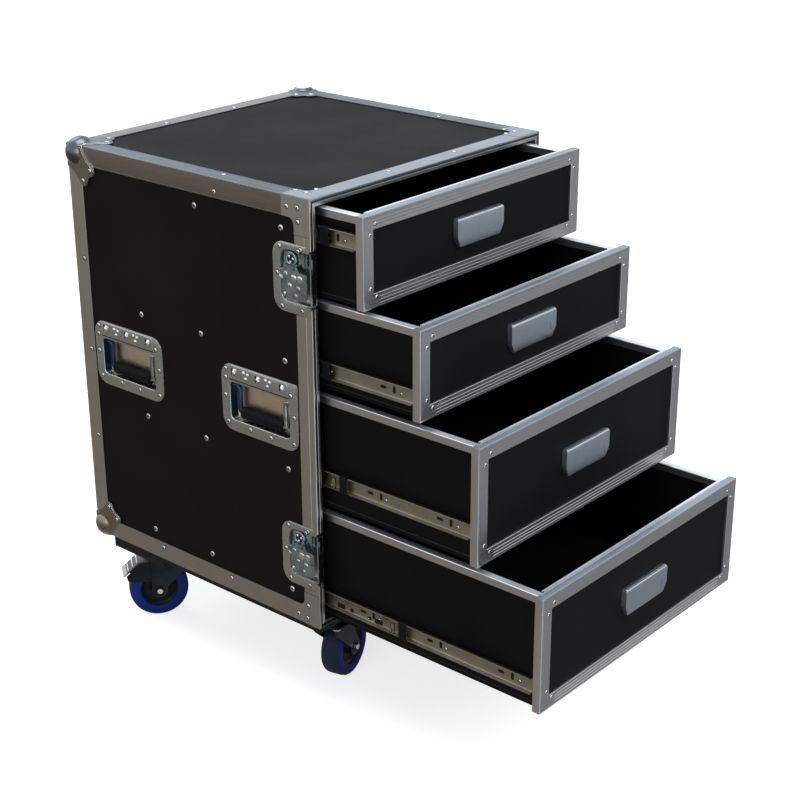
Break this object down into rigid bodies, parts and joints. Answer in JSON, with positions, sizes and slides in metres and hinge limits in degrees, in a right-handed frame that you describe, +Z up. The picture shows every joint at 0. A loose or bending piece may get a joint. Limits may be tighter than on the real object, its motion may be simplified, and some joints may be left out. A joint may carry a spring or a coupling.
{
  "type": "road case with drawers",
  "caption": "Flight case cabinet on swivel casters, with drawers of two heights on telescopic slides, recessed handles and twist latches",
  "frame": {"origin": "on the floor under the middle of the object as it stands, drawers drawn out as in the picture", "axes": "+X to the right seen from the drawers' side, +Y to the back, +Z up"},
  "size_m": [0.5442, 0.9298, 0.8233],
  "materials": {
    "top_board": "plywood faced with dark grey laminate, satin",
    "board": "plywood faced with black phenolic film, low sheen",
    "raw_board": "black phenolic faced plywood, bare edges stained dark",
    "drawer_board": "black film faced plywood, fine mesh texture",
    "edge_aluminium": "extruded aluminium, satin, lightly handled",
    "frame_aluminium": "ribbed extruded aluminium, satin",
    "zinc": "pressed steel, bright zinc plated",
    "satin_steel": "pressed steel, satin nickel",
    "slide_steel": "cold rolled steel slide, zinc plated, lightly greased",
    "tyre": "blue elastic rubber tread on a black hub"
  },
  "bodies": {
    "case": {"top_panel": "top_board", "bottom_board": "raw_board", "back_panel": "board", "edge_frame": "edge_aluminium", "left_panel": "board", "front_left_handle_dish": "zinc", "rear_left_handle_dish": "zinc", "upper_left_latch_dish": "zinc", "lower_left_latch_dish": "zinc", "right_panel": "board", "front_right_handle_dish": "zinc", "rear_right_handle_dish": "zinc", "upper_right_latch_dish": "zinc", "lower_right_latch_dish": "zinc"},
    "front_left_bail": {"front_left_handle_bail": "zinc"},
    "rear_left_bail": {"rear_left_handle_bail": "zinc"},
    "upper_left_latch_turn": {"upper_left_latch_barrel": "zinc"},
    "upper_left_latch_wing": {"upper_left_latch_wing": "zinc"},
    "upper_left_latch_hook": {"upper_left_latch_hook": "zinc"},
    "lower_left_latch_turn": {"lower_left_latch_barrel": "zinc"},
    "lower_left_latch_wing": {"lower_left_latch_wing": "zinc"},
    "lower_left_latch_hook": {"lower_left_latch_hook": "zinc"},
    "front_right_bail": {"front_right_handle_bail": "zinc"},
    "rear_right_bail": {"rear_right_handle_bail": "zinc"},
    "upper_right_latch_turn": {"upper_right_latch_barrel": "zinc"},
    "upper_right_latch_wing": {"upper_right_latch_wing": "zinc"},
    "upper_right_latch_hook": {"upper_right_latch_hook": "zinc"},
    "lower_right_latch_turn": {"lower_right_latch_barrel": "zinc"},
    "lower_right_latch_wing": {"lower_right_latch_wing": "zinc"},
    "lower_right_latch_hook": {"lower_right_latch_hook": "zinc"},
    "drawer_4_rails": {"drawer_4_left_rail": "slide_steel", "drawer_4_right_rail": "slide_steel"},
    "drawer_4": {"drawer_4_box": "drawer_board", "drawer_4_frame": "frame_aluminium", "drawer_4_pull": "satin_steel"},
    "drawer_3_rails": {"drawer_3_left_rail": "slide_steel", "drawer_3_right_rail": "slide_steel"},
    "drawer_3": {"drawer_3_box": "drawer_board", "drawer_3_frame": "frame_aluminium", "drawer_3_pull": "satin_steel"},
    "drawer_2_rails": {"drawer_2_left_rail": "slide_steel", "drawer_2_right_rail": "slide_steel"},
    "drawer_2": {"drawer_2_box": "drawer_board", "drawer_2_frame": "frame_aluminium", "drawer_2_pull": "satin_steel"},
    "drawer_1_rails": {"drawer_1_left_rail": "slide_steel", "drawer_1_right_rail": "slide_steel"},
    "drawer_1": {"drawer_1_box": "drawer_board", "drawer_1_frame": "frame_aluminium", "drawer_1_pull": "satin_steel"},
    "front_left_caster": {"front_left_caster_fork": "zinc"},
    "front_left_wheel": {"front_left_caster_wheel": "tyre"},
    "front_right_caster": {"front_right_caster_fork": "zinc"},
    "front_right_wheel": {"front_right_caster_wheel": "tyre"},
    "rear_left_caster": {"rear_left_caster_fork": "zinc"},
    "rear_left_wheel": {"rear_left_caster_wheel": "tyre"},
    "rear_left_brake": {"rear_left_brake_pedal": "zinc"},
    "rear_right_caster": {"rear_right_caster_fork": "zinc"},
    "rear_right_wheel": {"rear_right_caster_wheel": "tyre"},
    "rear_right_brake": {"rear_right_brake_pedal": "zinc"}
  },
  "joints": [
    {"name": "front_left_bail_swing", "type": "hinge", "parent": "case", "child": "front_left_bail", "pos_m": [-0.2552, 0.05155, 0.4993], "axis": [0, 1, 0], "range_deg": [0, 90], "stiffness_Nm_per_rad": 0.25, "springref_deg": -11.46},
    {"name": "rear_left_bail_swing", "type": "hinge", "parent": "case", "child": "rear_left_bail", "pos_m": [-0.2552, 0.34285, 0.4993], "axis": [0, 1, 0], "range_deg": [0, 90], "stiffness_Nm_per_rad": 0.25, "springref_deg": -11.46},
    {"name": "upper_left_latch_twist", "type": "hinge", "parent": "case", "child": "upper_left_latch_turn", "pos_m": [-0.2625, -0.02125, 0.7223], "axis": [1, 0, 0], "range_deg": [0, 90]},
    {"name": "upper_left_latch_wing_flip", "type": "hinge", "parent": "upper_left_latch_turn", "child": "upper_left_latch_wing", "pos_m": [-0.26445, -0.02125, 0.7133], "axis": [0, 1, 0], "range_deg": [0, 90]},
    {"name": "upper_left_latch_hook_throw", "type": "slide", "parent": "case", "child": "upper_left_latch_hook", "axis": [0, -1, 0], "range_m": [0, 0.008]},
    {"name": "lower_left_latch_twist", "type": "hinge", "parent": "case", "child": "lower_left_latch_turn", "pos_m": [-0.2625, -0.02125, 0.2881], "axis": [1, 0, 0], "range_deg": [0, 90]},
    {"name": "lower_left_latch_wing_flip", "type": "hinge", "parent": "lower_left_latch_turn", "child": "lower_left_latch_wing", "pos_m": [-0.26445, -0.02125, 0.2791], "axis": [0, 1, 0], "range_deg": [0, 90]},
    {"name": "lower_left_latch_hook_throw", "type": "slide", "parent": "case", "child": "lower_left_latch_hook", "axis": [0, -1, 0], "range_m": [0, 0.008]},
    {"name": "front_right_bail_swing", "type": "hinge", "parent": "case", "child": "front_right_bail", "pos_m": [0.2552, 0.05155, 0.4993], "axis": [0, -1, 0], "range_deg": [0, 90], "stiffness_Nm_per_rad": 0.25, "springref_deg": -11.46},
    {"name": "rear_right_bail_swing", "type": "hinge", "parent": "case", "child": "rear_right_bail", "pos_m": [0.2552, 0.34285, 0.4993], "axis": [0, -1, 0], "range_deg": [0, 90], "stiffness_Nm_per_rad": 0.25, "springref_deg": -11.46},
    {"name": "upper_right_latch_twist", "type": "hinge", "parent": "case", "child": "upper_right_latch_turn", "pos_m": [0.2625, -0.02125, 0.7223], "axis": [1, 0, 0], "range_deg": [0, 90]},
    {"name": "upper_right_latch_wing_flip", "type": "hinge", "parent": "upper_right_latch_turn", "child": "upper_right_latch_wing", "pos_m": [0.26445, -0.02125, 0.7133], "axis": [0, -1, 0], "range_deg": [0, 90]},
    {"name": "upper_right_latch_hook_throw", "type": "slide", "parent": "case", "child": "upper_right_latch_hook", "axis": [0, -1, 0], "range_m": [0, 0.008]},
    {"name": "lower_right_latch_twist", "type": "hinge", "parent": "case", "child": "lower_right_latch_turn", "pos_m": [0.2625, -0.02125, 0.2881], "axis": [1, 0, 0], "range_deg": [0, 90]},
    {"name": "lower_right_latch_wing_flip", "type": "hinge", "parent": "lower_right_latch_turn", "child": "lower_right_latch_wing", "pos_m": [0.26445, -0.02125, 0.2791], "axis": [0, -1, 0], "range_deg": [0, 90]},
    {"name": "lower_right_latch_hook_throw", "type": "slide", "parent": "case", "child": "lower_right_latch_hook", "axis": [0, -1, 0], "range_m": [0, 0.008]},
    {"name": "drawer_4_rails_slide", "type": "slide", "parent": "case", "child": "drawer_4_rails", "axis": [0, -1, 0], "range_m": [-0.1817, 0.0433]},
    {"name": "drawer_4_slide", "type": "slide", "parent": "drawer_4_rails", "child": "drawer_4", "axis": [0, -1, 0], "range_m": [-0.2253, 0]},
    {"name": "drawer_3_rails_slide", "type": "slide", "parent": "case", "child": "drawer_3_rails", "axis": [0, -1, 0], "range_m": [-0.0706, 0.1544]},
    {"name": "drawer_3_slide", "type": "slide", "parent": "drawer_3_rails", "child": "drawer_3", "axis": [0, -1, 0], "range_m": [-0.2253, 0]},
    {"name": "drawer_2_rails_slide", "type": "slide", "parent": "case", "child": "drawer_2_rails", "axis": [0, -1, 0], "range_m": [-0.0425, 0.1825]},
    {"name": "drawer_2_slide", "type": "slide", "parent": "drawer_2_rails", "child": "drawer_2", "axis": [0, -1, 0], "range_m": [-0.1515, 0.0738]},
    {"name": "drawer_1_rails_slide", "type": "slide", "parent": "case", "child": "drawer_1_rails", "axis": [0, -1, 0], "range_m": [-0.044, 0.181]},
    {"name": "drawer_1_slide", "type": "slide", "parent": "drawer_1_rails", "child": "drawer_1", "axis": [0, -1, 0], "range_m": [-0.05, 0.1753]},
    {"name": "front_left_caster_swivel", "type": "hinge", "parent": "case", "child": "front_left_caster", "pos_m": [-0.1825, -0.01095, 0.128], "axis": [0, 0, 1], "continuous": true},
    {"name": "front_left_wheel_spin", "type": "hinge", "parent": "front_left_caster", "child": "front_left_wheel", "pos_m": [-0.14854, -0.00248, 0.05], "axis": [-0.2419, 0.9703, 0], "continuous": true},
    {"name": "front_right_caster_swivel", "type": "hinge", "parent": "case", "child": "front_right_caster", "pos_m": [0.1825, -0.01095, 0.128], "axis": [0, 0, 1], "continuous": true},
    {"name": "front_right_wheel_spin", "type": "hinge", "parent": "front_right_caster", "child": "front_right_wheel", "pos_m": [0.14854, -0.00248, 0.05], "axis": [-0.2419, -0.9703, 0], "continuous": true},
    {"name": "rear_left_caster_swivel", "type": "hinge", "parent": "case", "child": "rear_left_caster", "pos_m": [-0.1825, 0.34905, 0.128], "axis": [0, 0, 1], "continuous": true},
    {"name": "rear_left_wheel_spin", "type": "hinge", "parent": "rear_left_caster", "child": "rear_left_wheel", "pos_m": [-0.21099, 0.36938, 0.05], "axis": [-0.5807, -0.8141, 0], "continuous": true},
    {"name": "rear_left_brake_press", "type": "hinge", "parent": "rear_left_caster", "child": "rear_left_brake", "pos_m": [-0.21832, 0.3746, 0.1055], "axis": [-0.5807, -0.8141, 0], "range_deg": [0, 14]},
    {"name": "rear_right_caster_swivel", "type": "hinge", "parent": "case", "child": "rear_right_caster", "pos_m": [0.1825, 0.34905, 0.128], "axis": [0, 0, 1], "continuous": true},
    {"name": "rear_right_wheel_spin", "type": "hinge", "parent": "rear_right_caster", "child": "rear_right_wheel", "pos_m": [0.17403, 0.38301, 0.05], "axis": [-0.9703, -0.2419, 0], "continuous": true},
    {"name": "rear_right_brake_press", "type": "hinge", "parent": "rear_right_caster", "child": "rear_right_brake", "pos_m": [0.17186, 0.39174, 0.1055], "axis": [-0.9703, -0.2419, 0], "range_deg": [0, 14]}
  ],
  "couplings": [
    {"joint": "upper_left_latch_hook_throw", "follows": "upper_left_latch_twist", "m_per_rad": 0.00509},
    {"joint": "lower_left_latch_hook_throw", "follows": "lower_left_latch_twist", "m_per_rad": 0.00509},
    {"joint": "upper_right_latch_hook_throw", "follows": "upper_right_latch_twist", "m_per_rad": 0.00509},
    {"joint": "lower_right_latch_hook_throw", "follows": "lower_right_latch_twist", "m_per_rad": 0.00509}
  ]
}
